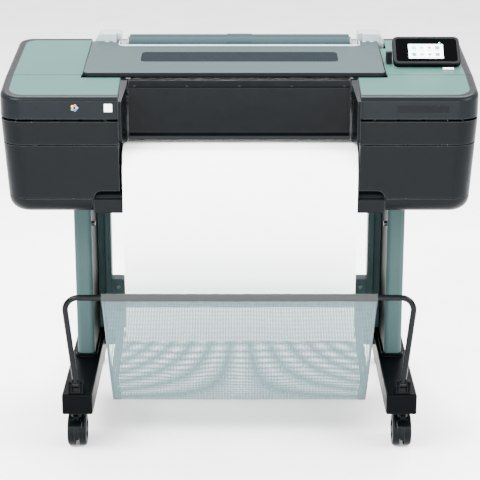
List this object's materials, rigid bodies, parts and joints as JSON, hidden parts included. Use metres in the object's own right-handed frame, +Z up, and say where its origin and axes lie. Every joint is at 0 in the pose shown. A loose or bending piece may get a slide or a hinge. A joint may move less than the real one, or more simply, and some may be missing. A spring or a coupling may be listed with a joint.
{
  "type": "large format plotter",
  "caption": "Roll-fed large format plotter on a wheeled stand, with lifting covers, a tilting touch screen and a hanging mesh paper bin.",
  "frame": {"origin": "on the floor, under the middle of the machine's bounding box", "axes": "+X along the machine's width, to the operator's right; +Y from the front to the back; +Z up"},
  "size_m": [1.22, 0.721, 1.0267],
  "materials": {
    "charcoal_cover": "fine grained dark moulding",
    "dark_inner": "plain dark moulding",
    "green_grey_panel": "satin green-grey inlay",
    "satin_cover": "satin metallic grey",
    "tinted_glass": "tinted, smooth",
    "hood_tint": "translucent blue-green",
    "light_grey": "light grey moulding",
    "screen_glass": "black glass",
    "sheet_steel": "galvanised sheet",
    "shaft_steel": "ground rod",
    "roller_rubber": "ground rubber tyres",
    "belt_rubber": "toothed belt",
    "cartridge": "black moulding",
    "paper": "coated paper",
    "leg_paint": "satin grey-green",
    "foot_paint": "satin black",
    "black_gloss": "gloss black tube",
    "net": "fine mesh",
    "caster_plastic": "black nylon",
    "screws": "blackened steel",
    "label_dark": "plain plate",
    "label_light": "plain plate"
  },
  "bodies": {
    "machine": {"left_base_cover": "charcoal_cover", "right_base_cover": "charcoal_cover", "left_lower_cover": "charcoal_cover", "right_lower_cover": "charcoal_cover", "left_middle_cover": "charcoal_cover", "right_middle_cover": "charcoal_cover", "left_rear_cover": "charcoal_cover", "right_rear_cover": "charcoal_cover", "top_panels": "green_grey_panel", "side_brackets": "light_grey", "rear_deck": "light_grey", "front_panel": "charcoal_cover", "output_apron": "charcoal_cover", "back_panel": "charcoal_cover", "screen_bracket": "caster_plastic", "power_inlet": "caster_plastic", "chassis_beam": "sheet_steel", "platen": "dark_inner", "leg_strips": "dark_inner", "carriage_rail": "shaft_steel", "drive_belt": "belt_rubber", "ink_cartridges": "cartridge", "printed_sheet": "paper", "left_leg": "leg_paint", "right_leg": "leg_paint", "stand_crossbar": "leg_paint", "left_foot": "foot_paint", "right_foot": "foot_paint", "bin_clevises": "foot_paint", "bin_fabric_rear": "net", "stand_screws": "screws"},
    "right_ink_lid": {"right_ink_cover": "charcoal_cover", "right_ink_panel": "green_grey_panel", "right_label": "label_dark"},
    "left_ink_lid": {"left_ink_cover": "charcoal_cover", "left_ink_panel": "green_grey_panel", "left_label": "label_light"},
    "top_lid": {"top_cover": "satin_cover", "top_cover_window": "tinted_glass"},
    "roll_hood": {"roll_cover": "hood_tint"},
    "roll": {"roll_spindle": "caster_plastic", "paper_roll": "paper"},
    "touch_screen": {"screen_housing": "caster_plastic", "screen_glass": "screen_glass"},
    "feed": {"feed_roller": "roller_rubber"},
    "print_carriage": {"carriage": "dark_inner"},
    "idler": {"idler_pulley": "dark_inner"},
    "motor": {"motor_pulley": "dark_inner"},
    "bin_frame": {"bin_bar": "black_gloss", "bin_fabric_front": "net"},
    "swivel_front_left": {"caster_fork_front_left": "caster_plastic"},
    "wheels_front_left": {"caster_wheels_front_left": "caster_plastic"},
    "swivel_front_right": {"caster_fork_front_right": "caster_plastic"},
    "wheels_front_right": {"caster_wheels_front_right": "caster_plastic"},
    "swivel_rear_left": {"caster_fork_rear_left": "caster_plastic"},
    "wheels_rear_left": {"caster_wheels_rear_left": "caster_plastic"},
    "swivel_rear_right": {"caster_fork_rear_right": "caster_plastic"},
    "wheels_rear_right": {"caster_wheels_rear_right": "caster_plastic"},
    "brake_left": {"caster_brake_left": "caster_plastic"},
    "brake_right": {"caster_brake_right": "caster_plastic"}
  },
  "joints": [
    {"name": "right_ink_lid_hinge", "type": "hinge", "parent": "machine", "child": "right_ink_lid", "pos_m": [0.49, -0.065, 0.95], "axis": [-1, 0, 0], "range_deg": [0, 70]},
    {"name": "left_ink_lid_hinge", "type": "hinge", "parent": "machine", "child": "left_ink_lid", "pos_m": [-0.49, -0.065, 0.95], "axis": [-1, 0, 0], "range_deg": [0, 70]},
    {"name": "top_lid_hinge", "type": "hinge", "parent": "machine", "child": "top_lid", "pos_m": [0, 0.216, 0.9816], "axis": [-1, 0, 0], "range_deg": [0, 75]},
    {"name": "roll_hood_hinge", "type": "hinge", "parent": "machine", "child": "roll_hood", "pos_m": [0, 0.293, 0.9575], "axis": [-1, 0, 0], "range_deg": [0, 85]},
    {"name": "roll_turn", "type": "hinge", "parent": "machine", "child": "roll", "pos_m": [0, 0.235, 0.938], "axis": [1, 0, 0], "continuous": true},
    {"name": "touch_screen_tilt", "type": "hinge", "parent": "machine", "child": "touch_screen", "pos_m": [0.4946, 0.041, 0.9824], "axis": [-1, 0, 0], "range_deg": [0, 30]},
    {"name": "feed_roller_turn", "type": "hinge", "parent": "machine", "child": "feed", "pos_m": [0, 0.058, 0.77], "axis": [1, 0, 0], "continuous": true},
    {"name": "carriage_travel", "type": "slide", "parent": "machine", "child": "print_carriage", "axis": [1, 0, 0], "range_m": [-0.92, 0]},
    {"name": "idler_turn", "type": "hinge", "parent": "machine", "child": "idler", "pos_m": [-0.545, 0.01, 0.872], "axis": [0, 1, 0], "continuous": true},
    {"name": "motor_turn", "type": "hinge", "parent": "machine", "child": "motor", "pos_m": [0.545, 0.01, 0.872], "axis": [0, 1, 0], "continuous": true},
    {"name": "bin_bar_swing", "type": "hinge", "parent": "machine", "child": "bin_frame", "pos_m": [0, -0.335, 0.196], "axis": [1, 0, 0], "range_deg": [-12, 55], "deforming": ["bin_fabric_front"]},
    {"name": "swivel_turn_front_left", "type": "hinge", "parent": "machine", "child": "swivel_front_left", "pos_m": [-0.427, -0.297, 0.1], "axis": [0, 0, 1], "continuous": true},
    {"name": "wheel_turn_front_left", "type": "hinge", "parent": "swivel_front_left", "child": "wheels_front_left", "pos_m": [-0.427, -0.271, 0.042], "axis": [1, 0, 0], "continuous": true},
    {"name": "swivel_turn_front_right", "type": "hinge", "parent": "machine", "child": "swivel_front_right", "pos_m": [0.427, -0.297, 0.1], "axis": [0, 0, 1], "continuous": true},
    {"name": "wheel_turn_front_right", "type": "hinge", "parent": "swivel_front_right", "child": "wheels_front_right", "pos_m": [0.427, -0.271, 0.042], "axis": [1, 0, 0], "continuous": true},
    {"name": "swivel_turn_rear_left", "type": "hinge", "parent": "machine", "child": "swivel_rear_left", "pos_m": [-0.427, 0.289, 0.1], "axis": [0, 0, 1], "continuous": true},
    {"name": "wheel_turn_rear_left", "type": "hinge", "parent": "swivel_rear_left", "child": "wheels_rear_left", "pos_m": [-0.427, 0.315, 0.042], "axis": [1, 0, 0], "continuous": true},
    {"name": "swivel_turn_rear_right", "type": "hinge", "parent": "machine", "child": "swivel_rear_right", "pos_m": [0.427, 0.289, 0.1], "axis": [0, 0, 1], "continuous": true},
    {"name": "wheel_turn_rear_right", "type": "hinge", "parent": "swivel_rear_right", "child": "wheels_rear_right", "pos_m": [0.427, 0.315, 0.042], "axis": [1, 0, 0], "continuous": true},
    {"name": "brake_press_left", "type": "hinge", "parent": "swivel_front_left", "child": "brake_left", "pos_m": [-0.427, -0.316, 0.084], "axis": [1, 0, 0], "range_deg": [0, 14]},
    {"name": "brake_press_right", "type": "hinge", "parent": "swivel_front_right", "child": "brake_right", "pos_m": [0.427, -0.316, 0.084], "axis": [1, 0, 0], "range_deg": [0, 14]}
  ],
  "couplings": [
    {"joint": "idler_turn", "follows": "carriage_travel", "rad_per_m": 76.923},
    {"joint": "motor_turn", "follows": "carriage_travel", "rad_per_m": 76.923}
  ]
}
